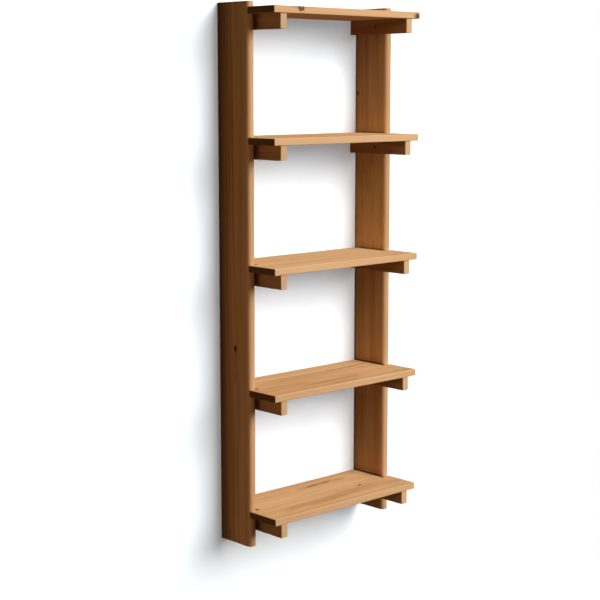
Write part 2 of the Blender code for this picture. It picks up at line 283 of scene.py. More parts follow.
def screw_place(side, level):
    """The point on a bearer's inner face where its screw goes in."""
    place = middle(f"{side}_bearer_screw_{level}")
    low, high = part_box(f"{side}_bearer_{level}")
    place.x = low.x if side == "right" else high.x
    return place


def screw_reach(side, level):
    """Depth of a screw's tip below its bearer's inner face."""
    low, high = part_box(f"{side}_bearer_screw_{level}")
    face = screw_place(side, level).x
    return max(abs(low.x - face), abs(high.x - face))


def half_width(node, axis):
    """Half of a node's size along an axis."""
    low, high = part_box(node)
    return (high[axis] - low[axis]) / 2


# Boards

def screw_hole(side, level):
    """A cutter for a bearer screw's counterbore and pilot hole, with an eased mouth."""
    node = f"{side}_bearer_screw_{level}"
    tip = screw_reach(side, level) + FIT_GAP
    shank = SCREW_SHANK_RADIUS + FIT_GAP
    mouth = half_width(node, 1) + COUNTERBORE_CLEARANCE
    flare = mouth + MOUTH_CHAMFER + OVERRUN
    profile = [
        (0.0, tip), (shank, tip - SCREW_TIP_LENGTH), (shank, COUNTERBORE_DEPTH),
        (mouth, COUNTERBORE_DEPTH), (mouth, MOUTH_CHAMFER), (flare, -OVERRUN), (0.0, -OVERRUN),
    ]
    return place_across(to_object("screw_hole", turned(profile)), side, screw_place(side, level))


def dowel_hole(side, level):
    """A cutter for a dowel's hole."""
    node = f"{side}_bearer_dowel_{level}"
    radius = half_width(node, 1) + FIT_GAP
    reach = half_width(node, 0) + FIT_GAP
    profile = [(0.0, reach), (radius, reach), (radius, -reach), (0.0, -reach)]
    return place_across(to_object("dowel_hole", turned(profile)), side, middle(node))


def notch_cutter(side):
    """A cutter as tall as the unit for the shelves' notches round an upright."""
    low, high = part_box(f"{side}_upright")
    low -= Vector((NOTCH_SIDE_CLEARANCE, NOTCH_FRONT_CLEARANCE, OVERRUN))
    high += Vector((NOTCH_SIDE_CLEARANCE, OVERRUN, OVERRUN))
    return to_object("notch", slab(rectangle(low, high), low.z, high.z))


def notch_relief(side):
    """A cutter for the hole drilled in a notch's inner corner before it was sawn."""
    low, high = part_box(f"{side}_upright")
    shape = turned([(0.0, high.z), (NOTCH_RELIEF, high.z), (NOTCH_RELIEF, low.z), (0.0, low.z)])
    relief = to_object("notch_relief", shape)
    inner = high.x + NOTCH_SIDE_CLEARANCE if side == "left" else low.x - NOTCH_SIDE_CLEARANCE
    relief.location = (inner, low.y - NOTCH_FRONT_CLEARANCE, 0.0)
    return relief


def make_shelf(level, material):
    """A shelf with rounded front corners and eased edges, and notches sawn round the uprights."""
    node = f"shelf_{level}"
    shelf = to_object(node + "_board", board_shape(node, SHELF_ARRIS, SHELF_CORNER_RADIUS))
    cut(shelf, *[notch_cutter(side) for side in SIDES], *[notch_relief(side) for side in SIDES])
    stand_for(shelf, node, SHELF_BODIES[level - 1], material)


def make_bearer(side, level, material):
    """A bearer with eased edges, bored for its screw and its dowel."""
    node = f"{side}_bearer_{level}"
    bearer = to_object(node + "_batten", board_shape(node, BEARER_ARRIS))
    cut(bearer, screw_hole(side, level), dowel_hole(side, level))
    stand_for(bearer, node, "frame", material)


def make_upright(side, material):
    """An upright with round front edges, bored for its fixings and let in for its plate."""
    node = f"{side}_upright"
    low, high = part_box(node)
    front_radius = (high.x - low.x - UPRIGHT_FRONT_FLAT) / 2
    shape = board_shape(node, UPRIGHT_ARRIS, front_radius, FRONT_STEPS)
    upright = to_object(node + "_board", shape)
    holes = []
    for level in LEVELS:
        holes += [screw_hole(side, level), dowel_hole(side, level)]
    cut(upright, *holes, *plate_cutters(side))
    stand_for(upright, node, "frame", material)


# Hanger plates

def arc(centre_z, radius, start, end):
    """Points along a circular arc in the plane of a hanger plate."""
    points = []
    for step in range(TURN_STEPS // 2 + 1):
        angle = start + (end - start) * step / (TURN_STEPS // 2)
        points.append((radius * math.cos(angle), centre_z + radius * math.sin(angle)))
    return points


def capsule_outline(width, height):
    """A strip with half-round ends."""
    radius = width / 2
    reach = height / 2 - radius
    return arc(reach, radius, 0.0, math.pi) + arc(-reach, radius, math.pi, 2 * math.pi)


def keyhole_outline():
    """A round entry with a narrower slot above it."""
    meet = math.acos(KEYHOLE_SLOT_RADIUS / KEYHOLE_ENTRY_RADIUS)
    slot = arc(KEYHOLE_RISE / 2, KEYHOLE_SLOT_RADIUS, 0.0, math.pi)
    entry = arc(-KEYHOLE_RISE / 2, KEYHOLE_ENTRY_RADIUS, math.pi - meet, 2 * math.pi + meet)
    return slot + entry


def flat_piece(name, outlines, thickness, edge=0.0):
    """A flat piece with optional rounded edges, from Z = 0 up to its thickness."""
    curve = bpy.data.curves.new(name, "CURVE")
    curve.dimensions = "2D"
    curve.fill_mode = "BOTH"
    curve.extrude = thickness / 2 - edge
    curve.bevel_depth = edge
    curve.bevel_resolution = PLATE_EDGE_STEPS
    curve.offset = -edge
    for outline in outlines:
        spline = curve.splines.new("POLY")
        spline.points.add(len(outline) - 1)
        for point, (across, along) in zip(spline.points, outline):
            point.co = (across, along, 0.0, 1.0)
        spline.use_cyclic_u = True
    sketch = new_object(name, curve)
    mesh = evaluated_mesh(sketch)
    bpy.data.objects.remove(sketch, do_unlink=True)
    bpy.data.curves.remove(curve)
    shape = bmesh.new()
    shape.from_mesh(mesh)
    bpy.data.meshes.remove(mesh)
    bmesh.ops.remove_doubles(shape, verts=shape.verts, dist=WELD_DISTANCE)
    bmesh.ops.translate(shape, vec=(0.0, 0.0, thickness / 2), verts=shape.verts)
    return to_object(name, shape)


def place_in_back(item, node, sunk=0.0):
    """Turns a piece's Z axis forwards, and sets it on the rear edge at a node's place."""
    item.rotation_euler = Euler((QUARTER_TURN, 0.0, 0.0))
    item.location = middle(node)
    item.location.y = -sunk
    return item


def plate_screw_profile(node, gap):
    """Half outline of a countersunk plate screw, or with a gap that of its hole."""
    low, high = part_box(node)
    head = (high.x - low.x) / 2 + gap
    tip = -low.y + gap
    shank = PLATE_SCREW_SHANK_RADIUS + gap
    return [
        (0.0, tip), (shank, tip - PLATE_SCREW_TIP_LENGTH),
        (shank, FIT_GAP + PLATE_SCREW_HEAD_HEIGHT), (head, FIT_GAP),
    ]


def plate_screw_hole(node):
    """A cutter for a plate screw's countersunk hole."""
    profile = plate_screw_profile(node, FIT_GAP)
    mouth = profile[-1][0]
    profile += [(mouth, -OVERRUN), (0.0, -OVERRUN)]
    return place_in_back(to_object("plate_screw_hole", turned(profile)), node)


def plate_screw_nodes(side):
    """The nodes of the two screws of a hanger plate."""
    return [f"{side}_hanger_screw_{place}" for place in ("upper", "lower")]


def plate_cutters(side):
    """Cutters for a plate's recess, the pocket behind its keyhole and its screws."""
    node = f"{side}_hanger_plate"
    low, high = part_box(node)
    width = high.x - low.x + 2 * FIT_GAP
    height = high.z - low.z + 2 * FIT_GAP
    depth = high.y - low.y + FIT_GAP
    recess = flat_piece("plate_recess", [capsule_outline(width, height)], depth + OVERRUN)
    place_in_back(recess, node, -OVERRUN)
    pocket_width = 2 * (KEYHOLE_ENTRY_RADIUS + POCKET_MARGIN)
    outline = capsule_outline(pocket_width, pocket_width + KEYHOLE_RISE)
    pocket = flat_piece("head_pocket", [outline], POCKET_DEPTH + OVERRUN)
    place_in_back(pocket, node, -OVERRUN)
    return [recess, pocket] + [plate_screw_hole(screw) for screw in plate_screw_nodes(side)]


def make_plate(side, material):
    """A keyhole plate with rounded edges and countersunk holes."""
    node = f"{side}_hanger_plate"
    low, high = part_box(node)
    outlines = [capsule_outline(high.x - low.x, high.z - low.z), keyhole_outline()]
    plate = flat_piece(node + "_keyhole", outlines, high.y - low.y, PLATE_EDGE)
    place_in_back(plate, node)
    cut(plate, *[plate_screw_hole(screw) for screw in plate_screw_nodes(side)])
    stand_for(plate, node, "frame", material)


def make_plate_screw(node, material):
    """A slotted countersunk screw."""
    profile = plate_screw_profile(node, 0.0)
    head = profile[-1][0] + OVERRUN
    screw = to_object(node + "_slotted", turned(profile + [(0.0, FIT_GAP)]))
    half_slot = PLATE_SCREW_SLOT_WIDTH / 2
    outline = rectangle(Vector((-head, -half_slot)), Vector((head, half_slot)))
    slot = slab(outline, -OVERRUN, FIT_GAP + PLATE_SCREW_SLOT_DEPTH)
    cut(screw, to_object("screw_slot", slot))
    place_in_back(screw, node)
    stand_for(screw, node, "frame", material)


def make_bearer_screw(side, level, material):
    """A cap screw with a hexagonal socket, seated in its counterbore."""
    node = f"{side}_bearer_screw_{level}"
    tip = screw_reach(side, level)
    seat = COUNTERBORE_DEPTH - FIT_GAP
    top = seat - SCREW_HEAD_HEIGHT
    head = half_width(node, 1)
    profile = [
        (0.0, tip), (SCREW_SHANK_RADIUS, tip - SCREW_TIP_LENGTH), (SCREW_SHANK_RADIUS, seat),
        (head, seat), (head, top + SCREW_EDGE), (head - SCREW_EDGE / 3, top + SCREW_EDGE / 3),
        (head - SCREW_EDGE, top), (0.0, top),
    ]
    screw = to_object(node + "_cap", turned(profile))
    shape = bmesh.new()
    bmesh.ops.create_cone(
        shape, cap_ends=True, segments=HEXAGON_STEPS, depth=2 * SCREW_SOCKET_DEPTH,
        radius1=SCREW_SOCKET_RADIUS, radius2=SCREW_SOCKET_RADIUS,
    )
    socket = to_object("hexagon", shape)
    socket.location.z = top
    cut(screw, socket)
    place_across(screw, side, screw_place(side, level))
    stand_for(screw, node, "frame", material)


# Materials

# Sockets of a Mix node that take and give colours
MIX_INPUTS = (0, 6, 7)
MIX_OUTPUT = 2


class Nodes:
    """Short calls for building a node tree, where a value is a number, a colour or a socket."""

    def __init__(self, tree):
        self.tree = tree

    def feed(self, socket, value):
        if isinstance(value, bpy.types.NodeSocket):
            self.tree.links.new(value, socket)
        elif socket.type == "RGBA":
            socket.default_value = (*value, 1.0)
        else:
            socket.default_value = value

    def add(self, kind, *values, **settings):
        """A node with its settings, and with values for its first inputs."""
        node = self.tree.nodes.new(kind)
        for name, value in settings.items():
            setattr(node, name, value)
        for socket, value in zip(node.inputs, values):
            self.feed(socket, value)
        return node

    def add_named(self, kind, **values):
        """A node with values for the inputs of those names."""
        node = self.tree.nodes.new(kind)
        for name, value in values.items():
            self.feed(node.inputs[name], value)
        return node

    def place(self):
        return self.add("ShaderNodeTexCoord").outputs["Object"]

    def math(self, operation, *values):
        return self.add("ShaderNodeMath", *values, operation=operation).outputs[0]

    def less(self, value, amount):
        return self.math("SUBTRACT", value, amount)

    def product(self, first, *others):
        for value in others:
            first = self.math("MULTIPLY", first, value)
        return first

    def scaled(self, value, factor, start):
        return self.math("MULTIPLY_ADD", value, factor, start)

    def between(self, share, low, high):
        """Goes evenly from low to high as a share goes from 0 to 1."""
        return self.scaled(share, high - low, low)

    def vector(self, operation, *values):
        node = self.add("ShaderNodeVectorMath", *values, operation=operation)
        return node.outputs["Value" if operation == "LENGTH" else "Vector"]

    def split(self, vector):
        return list(self.add("ShaderNodeSeparateXYZ", vector).outputs)

    def join(self, *values):
        return self.add("ShaderNodeCombineXYZ", *values).outputs[0]

    def step(self, value, low, high, start=0.0, end=1.0):
        """Goes smoothly from start to end as a value goes from low to high."""
        values = (value, low, high, start, end)
        node = self.add("ShaderNodeMapRange", *values, interpolation_type="SMOOTHSTEP")
        return node.outputs["Result"]

    def fade(self, value, full, gone, strength=1.0):
        """Falls smoothly from a strength to 0 as a value goes from full to gone."""
        return self.step(value, full, gone, strength, 0.0)

    def noise(self, vector, scale=1.0, detail=2.0, roughness=0.5):
        settings = {"Vector": vector, "Scale": scale, "Detail": detail, "Roughness": roughness}
        return self.add_named("ShaderNodeTexNoise", **settings).outputs["Fac"]

    def chance(self, value):
        """A number from 0 to 1 that is fixed for each whole value."""
        node = self.add("ShaderNodeTexWhiteNoise", noise_dimensions="1D")
        self.feed(node.inputs["W"], value)
        return node.outputs["Value"]

    def mix(self, factor, first, second):
        node = self.add("ShaderNodeMix", data_type="RGBA")
        for index, value in zip(MIX_INPUTS, (factor, first, second)):
            self.feed(node.inputs[index], value)
        return node.outputs[MIX_OUTPUT]

    def bump(self, height, strength, distance):
        settings = {"Height": height, "Strength": strength, "Distance": distance}
        return self.add_named("ShaderNodeBump", **settings).outputs["Normal"]


def new_material(name):
    """A material, its node builder and its Principled shader."""
    material = bpy.data.materials.new(name)
    material.use_nodes = True
    nodes = Nodes(material.node_tree)
    return material, nodes, material.node_tree.nodes["Principled BSDF"]


def set_surface(nodes, shader, base, rough, normal):
    """Feeds a shader's colour, roughness and normal."""
    for name, value in (("Base Color", base), ("Roughness", rough), ("Normal", normal)):
        nodes.feed(shader.inputs[name], value)


# Pine. Colours are linear.
PALE_PINE = (0.715, 0.436, 0.220)
DARK_PINE = (0.480, 0.218, 0.078)
# Sanded pine, also used as painted light on the faces turned towards the key
SANDED_LIT_PINE = (0.840, 0.520, 0.280)
SAPWOOD = (0.860, 0.500, 0.200)
# Heartwood, also used as painted shade by the wall along the uprights' rear
HEARTWOOD_AND_SHADE = (0.112, 0.053, 0.031)
END_GRAIN = (0.200, 0.090, 0.034)
KNOT_BROWN = (0.300, 0.115, 0.035)
KNOT_HEART = (0.520, 0.255, 0.095)
# Bark brown of the knots, also used as painted shade at the notches and above the shelves
BARK_AND_SHADE_BROWN = (0.050, 0.018, 0.007)
RESIN_BROWN = (0.180, 0.066, 0.020)

# Growth rings and fibres. A pair of scales is along the grain and across it, per metre.
GRAIN_WANDER = 0.006
WANDER_SCALES = (1.6, 9.0)
TRUNK_TAPER = 0.010
UNEVEN_SCALE = 55.0
UNEVEN_YEARS = 2.5
LATE_WOOD_START = (0.30, 0.92)
LATE_WOOD_END = (0.94, 1.0)
FAINTEST_YEAR = 0.45
BAND_SCALES = (0.9, 38.0)
BAND_EDGE = (0.34, 0.68)
STRIPE_SCALES = (1.4, 105.0)
STRIPE_EDGE = (0.40, 0.68)
FIBRE_SCALES = (7.0, 620.0)
FINE_DETAIL = 3.0
FINE_ROUGHNESS = 0.6

# Shares of each pattern in a board's depth of colour
PALE_SHARE = 0.16
LATE_SHARE = 0.34
BAND_SHARE = 0.42
STRIPE_SHARE = 0.24
FIBRE_SHARE = 0.22
MEAN_FIGURE = 0.36

# Knots. Distances are in the knot's own radii, apart from the tip's radius.
KNOT_STRETCH = 1.35
KNOT_TIP_RADIUS = 0.0002
KNOT_RAGGED = 0.5
KNOT_BULGE = 3.2
KNOT_HALO = (0.9, 2.4, 0.35)
KNOT_RINGS = 3.5
KNOT_CORE_EDGE = 0.01
KNOT_CORE_STRENGTH = 0.95
KNOT_EDGE = (0.85, 1.05)
KNOT_RIM_START = (0.40, 0.70)
KNOT_RIM_END = (0.95, 1.2)

# Streaks. The core is a share of the width, and the taper of the length.
STREAK_CORE = 0.1
STREAK_TAPER = 0.2
STREAK_DEPTHS = (0.003, 0.008)
STREAK_BREAKS = (0.28, 0.60, 0.40, 1.0)
BREAK_SCALES = (22.0, 90.0)

# Wear, dirt, painted highlight and painted shade: the depths where a mark is full and where it ends,
# and then its strength
WEAR_UNEVENNESS = 0.004
WEAR_INSETS = (-0.0015, 0.0018)
WEAR_HIGHLIGHT_STRENGTH = 0.50
WEAR_HIGHLIGHT_TONE = 1.12
FRONT_SKIN = 0.001
END_DEPTHS = (0.0003, 0.0011)
SOAK_AND_SHADE = (0.0012, 0.0048, 0.95)
JOINT_SHADOW_LINE = (0.0027, 0.0090, 0.80)
JOINT_SHADE = (0.0, 0.0350, 0.28)
JOINT_SKIN = (0.0005, 0.0030)

# Sheen and relief
WOOD_ROUGHNESS = 0.64
FIBRE_ROUGHNESS = 0.16
LATE_GLOSS = 0.10
WEAR_GLOSS = 0.06
LATE_RELIEF = 0.55
FIBRE_RELIEF = 0.45

# A board's rings, sanded front that also holds painted light, depth of figure, heartwood with painted
# shade by the wall, end grain and marks
Board = namedtuple(
    "Board",
    "node grain pith spacing pale_depth pale tone figure deep heart_depth heart ends knots streaks",
    defaults=[1.0, 1.0, 0.0, 0.01, 0.0, 0.0, (), ()],
)
Knot = namedtuple("Knot", "at axis radius depth dark core rim")
Streak = namedtuple("Streak", "start end width strength face tint", defaults=[RESIN_BROWN])


def toned(rgb, tone):
    """A colour made lighter or darker."""
    return tuple(channel * tone for channel in rgb)


def board_space(nodes, board, place):
    """Distances from a board's centre along its grain, across its width and through it."""
    low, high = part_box(board.node)
    local = nodes.vector("SUBTRACT", place, tuple((low + high) / 2))
    parts = nodes.split(local)
    grain = AXES.index(board.grain)
    others = [axis for axis in range(3) if axis != grain]
    others.sort(key=lambda axis: low[axis] - high[axis])
    return [parts[axis] for axis in (grain, *others)]


def grain_place(nodes, space, scales, seed=0.0):
    """A place for a texture that is drawn out along the grain."""
    along, across, through = space
    sideways = [nodes.product(part, scales[1]) for part in (across, through)]
    return nodes.join(nodes.scaled(along, scales[0], seed), *sideways)


def ring_place(nodes, along, radius, scales, seed):
    """A place for a texture that follows the growth rings."""
    return nodes.join(nodes.scaled(along, scales[0], seed), nodes.product(radius, scales[1]), seed)


def ring_radius(nodes, board, space, reaches, seed):
    """Distance from the pith, which wanders, tapers with the trunk and bulges at knots."""
    along, across, through = space
    noise = nodes.noise(grain_place(nodes, space, WANDER_SCALES, seed), detail=FINE_DETAIL)
    wander = nodes.scaled(noise, 2 * GRAIN_WANDER, -GRAIN_WANDER)
    from_pith = nodes.join(nodes.less(across, board.pith[0]), nodes.less(through, board.pith[1]), 0.0)
    radius = nodes.math("ADD", nodes.vector("LENGTH", from_pith), wander)
    radius = nodes.scaled(along, TRUNK_TAPER, radius)
    for knot, reach in zip(board.knots, reaches):
        radius = nodes.math("ADD", radius, nodes.fade(reach, 0.0, KNOT_BULGE, knot.radius))
    return radius


def late_wood(nodes, board, radius, seed):
    """Rises through each year's late wood, by a different amount from year to year."""
    uneven = nodes.noise(nodes.join(nodes.product(radius, UNEVEN_SCALE), seed), detail=1.0)
    years = nodes.math("DIVIDE", radius, board.spacing)
    years = nodes.scaled(uneven, UNEVEN_YEARS, years)
    year = nodes.math("FRACT", years)
    chance = nodes.chance(nodes.math("ADD", nodes.math("FLOOR", years), seed))
    strength = nodes.between(chance, FAINTEST_YEAR, 1.0)
    rise = nodes.step(year, *LATE_WOOD_START)
    return nodes.product(rise, nodes.fade(year, *LATE_WOOD_END), strength)


def figure_depth(nodes, board, along, radius, late, fibre, seed):
    """How deep a board's colour is, from its rings, bands, stripes and fibres."""
    band_place = ring_place(nodes, along, radius, BAND_SCALES, seed)
    band = nodes.step(nodes.noise(band_place, 1.0, FINE_DETAIL, FINE_ROUGHNESS), *BAND_EDGE)
    stripe_place = ring_place(nodes, along, radius, STRIPE_SCALES, seed)
    stripe = nodes.step(nodes.noise(stripe_place), *STRIPE_EDGE)
    depth = nodes.scaled(late, LATE_SHARE, -PALE_SHARE)
    for pattern, share in ((band, BAND_SHARE), (stripe, STRIPE_SHARE), (fibre, FIBRE_SHARE)):
        depth = nodes.scaled(pattern, share, depth)
    mean_depth = MEAN_FIGURE * (1.0 - board.figure) + board.deep
    return nodes.scaled(depth, board.figure, mean_depth)


def edge_wear_highlight(nodes, board, place, ragged):
    """Rises to 1 at the board's long edges and corners, where wear and painted highlight are put."""
    low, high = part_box(board.node)
    local = nodes.vector("SUBTRACT", place, tuple((low + high) / 2))
    inset = nodes.vector("SUBTRACT", nodes.vector("ABSOLUTE", local), tuple((high - low) / 2))
    a, b, c = nodes.split(inset)
    lower = nodes.math("MINIMUM", a, b)
    upper = nodes.math("MAXIMUM", a, b)
    nearest = nodes.math("MAXIMUM", lower, nodes.math("MINIMUM", upper, c))
    uneven = nodes.scaled(nodes.less(ragged, 0.5), WEAR_UNEVENNESS, nearest)
    return nodes.step(uneven, *WEAR_INSETS)


def paint_zones(nodes, board, parts, along, base):
    """Lightens a board's front as sanding and painted light, darkens its rear as heartwood and painted
    shade by the wall, and darkens its end grain.
    """
    low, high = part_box(board.node)
    # Painted light: the front face is lightened partly as sanded wood and partly as the light that
    # falls on it
    front = nodes.fade(parts[1], low.y + FRONT_SKIN, low.y + board.pale_depth, board.pale)
    base = nodes.mix(front, base, SANDED_LIT_PINE)
    # Painted shade: the rear beside the wall is darkened partly as heartwood and partly as the wall's
    # contact shade
    heart = nodes.step(parts[1], high.y - board.heart_depth, high.y, 0.0, board.heart)
    base = nodes.mix(heart, base, HEARTWOOD_AND_SHADE)
    half_length = (high - low)[AXES.index(board.grain)] / 2
    to_end = nodes.less(half_length, nodes.math("ABSOLUTE", along))
    return nodes.mix(nodes.fade(to_end, *END_DEPTHS, board.ends), base, END_GRAIN)


def paint_notches(nodes, board, parts, base):
    """Darkens the end grain of a shelf's notches, and paints the upper rim and the relief hole dark,
    partly as oil and dust and partly as painted shade in the gap and the hole.
    """
    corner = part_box("right_upright")[0]
    sawn = nodes.less(nodes.math("ABSOLUTE", parts[0]), corner.x - NOTCH_SIDE_CLEARANCE)
    ahead = nodes.less(corner.y - NOTCH_FRONT_CLEARANCE, parts[1])
    side = nodes.math("MAXIMUM", nodes.math("ABSOLUTE", sawn), ahead)
    base = nodes.mix(nodes.fade(side, *END_DEPTHS, board.ends), base, END_GRAIN)
    below = nodes.less(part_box(board.node)[1].z, parts[2])
    rim = nodes.math("MAXIMUM", side, below)
    hole = nodes.less(nodes.vector("LENGTH", nodes.join(sawn, ahead, 0.0)), NOTCH_RELIEF)
    # Painted shade: the rim by the upright and the relief hole's walls are darkened as the shade in
    # the gap and hole, partly also as oil and dust
    soaked_and_shaded = nodes.fade(nodes.math("MINIMUM", rim, hole), *SOAK_AND_SHADE)
    return nodes.mix(soaked_and_shaded, base, BARK_AND_SHADE_BROWN)


def paint_joint_shade(nodes, parts, base):
    """Paints shade on an upright's inner face just above each shelf: a dark contact line and a softer
    darkening above it.
    """
    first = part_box("shelf_1")[1].z
    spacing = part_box("shelf_2")[1].z - first
    steps = nodes.math("DIVIDE", nodes.less(parts[2], first), spacing)
    above = nodes.product(nodes.math("FRACT", steps), spacing)
    # Painted shade: a contact shadow line where the shelf meets the upright, and softer painted shade
    # above it
    line = nodes.fade(above, *JOINT_SHADOW_LINE)
    painted_shade = nodes.fade(above, *JOINT_SHADE)
    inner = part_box("right_upright")[0].x
    skin = nodes.fade(nodes.math("ABSOLUTE", parts[0]), *[inner + depth for depth in JOINT_SKIN])
    joint_shade = nodes.product(nodes.math("MAXIMUM", line, painted_shade), skin)
    return nodes.mix(joint_shade, base, BARK_AND_SHADE_BROWN)


def paint_streak(nodes, board, streak, parts, breaks, swerve, base):
    """Draws a streak of resin or sapwood that follows a line on one face of a board."""
    low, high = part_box(board.node)
    face_axis = AXES.index(streak.face[1])
    grain = AXES.index(board.grain)
    along, across = parts[grain], parts[3 - face_axis - grain]
    length = streak.end[0] - streak.start[0]
    slope = (streak.end[1] - streak.start[1]) / length
    run = nodes.less(along, streak.start[0])
    line = nodes.scaled(run, slope, streak.start[1])
    drift = nodes.scaled(swerve, streak.width, line)
    away = nodes.math("ABSOLUTE", nodes.less(across, drift))
    body = nodes.fade(away, STREAK_CORE * streak.width, streak.width)
    taper = STREAK_TAPER * length
    begin = nodes.step(along, streak.start[0], streak.start[0] + taper)
    finish = nodes.fade(along, streak.end[0] - taper, streak.end[0])
    surface = high[face_axis] if streak.face[0] == "+" else low[face_axis]
    depth = nodes.math("ABSOLUTE", nodes.less(parts[face_axis], surface))
    skin = nodes.fade(depth, *STREAK_DEPTHS)
    patchy = nodes.step(breaks, *STREAK_BREAKS)
    mask = nodes.product(body, skin, begin, finish, patchy, streak.strength)
    return nodes.mix(mask, base, streak.tint)


def knot_distance(nodes, board, knot, parts, ragged):
    """Distance from a knot's axis, 1 at its rim, for a branch that narrows inwards."""
    grain = AXES.index(board.grain)
    depth_axis = AXES.index(knot.axis)
    squares = []
    for axis in range(3):
        offset = nodes.less(parts[axis], knot.at[axis])
        if axis == depth_axis:
            depth = nodes.math("ABSOLUTE", offset)
        else:
            stretch = KNOT_STRETCH if axis == grain else 1.0
            squares.append(nodes.math("POWER", nodes.math("DIVIDE", offset, stretch), 2.0))
    away = nodes.math("SQRT", nodes.math("ADD", *squares))
    taper = nodes.scaled(depth, -knot.radius / knot.depth, knot.radius)
    radius = nodes.math("MAXIMUM", taper, KNOT_TIP_RADIUS)
    rough = nodes.scaled(ragged, KNOT_RAGGED, -KNOT_RAGGED / 2)
    return nodes.math("ADD", nodes.math("DIVIDE", away, radius), rough)


def paint_knot(nodes, knot, reach, base):
    """Draws a knot over a board's colour: a halo, rings, a dark rim and a dark core."""
    halo = nodes.fade(reach, *KNOT_HALO)
    base = nodes.mix(halo, base, RESIN_BROWN)
    rings = nodes.math("FRACT", nodes.product(reach, KNOT_RINGS))
    heart = nodes.mix(rings, KNOT_HEART, KNOT_BROWN)
    heart = nodes.mix(knot.dark, heart, BARK_AND_SHADE_BROWN)
    core = nodes.fade(reach, knot.core / 2, knot.core + KNOT_CORE_EDGE, KNOT_CORE_STRENGTH)
    heart = nodes.mix(core, heart, BARK_AND_SHADE_BROWN)
    base = nodes.mix(nodes.fade(reach, *KNOT_EDGE), base, heart)
    rim = nodes.product(nodes.step(reach, *KNOT_RIM_START), nodes.fade(reach, *KNOT_RIM_END), knot.rim)
    return nodes.mix(rim, base, BARK_AND_SHADE_BROWN)


def pine_material(board, seed):
    """Oiled pine whose growth rings, bands, fibres, knots, wear and painted light and shade run
    through the solid board.
    """
    material, nodes, shader = new_material(board.node + "_pine")
    place = nodes.place()
    parts = nodes.split(place)
    space = board_space(nodes, board, place)
    along = space[0]
    ragged = nodes.noise(place, scale=190.0)
    reaches = [knot_distance(nodes, board, knot, parts, ragged) for knot in board.knots]
    radius = ring_radius(nodes, board, space, reaches, seed)
    late = late_wood(nodes, board, radius, seed)
    fibre = nodes.noise(grain_place(nodes, space, FIBRE_SCALES), 1.0, FINE_DETAIL, FINE_ROUGHNESS)
    wear_highlight = edge_wear_highlight(nodes, board, place, ragged)

    depth = figure_depth(nodes, board, along, radius, late, fibre, seed)
    base = nodes.mix(depth, toned(PALE_PINE, board.tone), toned(DARK_PINE, board.tone))
    # Painted highlight: edges and corners are lightened partly as wear and partly as the highlight
    # that arrises catch
    base = nodes.mix(nodes.product(wear_highlight, WEAR_HIGHLIGHT_STRENGTH), base, toned(PALE_PINE, WEAR_HIGHLIGHT_TONE))
    base = paint_zones(nodes, board, parts, along, base)
    if board.grain == "X":
        base = paint_notches(nodes, board, parts, base)
    if board.grain == "Z":
        base = paint_joint_shade(nodes, parts, base)
    breaks = nodes.noise(grain_place(nodes, space, BREAK_SCALES, seed))
    swerve = nodes.between(nodes.noise(place, scale=7.0), -1.0, 1.0)
    for streak in board.streaks:
        base = paint_streak(nodes, board, streak, parts, breaks, swerve, base)
    for knot, reach in zip(board.knots, reaches):
        base = paint_knot(nodes, knot, reach, base)

    rough = nodes.scaled(fibre, FIBRE_ROUGHNESS, WOOD_ROUGHNESS - FIBRE_ROUGHNESS / 2)
    rough = nodes.scaled(late, -LATE_GLOSS, rough)
    rough = nodes.scaled(wear_highlight, -WEAR_GLOSS, rough)
    height = nodes.scaled(late, LATE_RELIEF, nodes.product(fibre, FIBRE_RELIEF))
    set_surface(nodes, shader, base, rough, nodes.bump(height, strength=0.30, distance=0.0004))
    nodes.feed(shader.inputs["Specular IOR Level"], 0.0)
    return material


# Beech, blackened steel and zinc. A set of three scales is along X, Y and Z, per metre.
PALE_BEECH = (0.70, 0.50, 0.30)
DARK_BEECH = (0.54, 0.34, 0.18)
BEECH_FLECK = (0.36, 0.20, 0.10)
BEECH_GRAIN_SCALES = (60.0, 900.0, 900.0)
BEECH_FLECK_SCALES = (500.0, 1500.0, 1500.0)
BEECH_FLECKS = (0.58, 0.66, 0.0, 0.5)
BEECH_ROUGHNESS = (0.50, 0.70)
BLACK_STEEL = (0.040, 0.030, 0.023)
BROWN_STEEL = (0.075, 0.058, 0.046)
WORN_STEEL = (0.26, 0.24, 0.22)
STEEL_RIM = (0.0040, 0.0048, 0.0, 0.6)
STEEL_RIM_RAGGED = 0.0008
STEEL_ROUGHNESS = (0.32, 0.57)
PLATE_ZINC = (0.56, 0.57, 0.58)
PLATE_SCREW_ZINC = (0.60, 0.57, 0.48)
SCUFFED_ZINC = (0.34, 0.34, 0.35)
ZINC_TONES = (0.86, 1.08)
ZINC_LINE_SCALES = (4200.0, 120.0, 4200.0)
ZINC_SCUFF_SCALES = (2600.0, 300.0, 2600.0)
ZINC_SCUFFS = (0.62, 0.70, 0.0, 0.35)
ZINC_ROUGHNESS = (0.22, 0.40)
ZINC_CLOUD_ROUGHNESS = 0.12


def beech_material():
    """Beech of the dowels, with the short flecks of that wood."""
    material, nodes, shader = new_material("dowel_beech_flecked")
    place = nodes.place()
    grain = nodes.noise(nodes.vector("MULTIPLY", place, BEECH_GRAIN_SCALES), detail=FINE_DETAIL)
    fleck = nodes.noise(nodes.vector("MULTIPLY", place, BEECH_FLECK_SCALES))
    fleck = nodes.step(fleck, *BEECH_FLECKS)
    base = nodes.mix(grain, PALE_BEECH, DARK_BEECH)
    base = nodes.mix(fleck, base, BEECH_FLECK)
    rough = nodes.between(grain, *BEECH_ROUGHNESS)
    set_surface(nodes, shader, base, rough, nodes.bump(grain, strength=0.25, distance=0.0002))
    return material


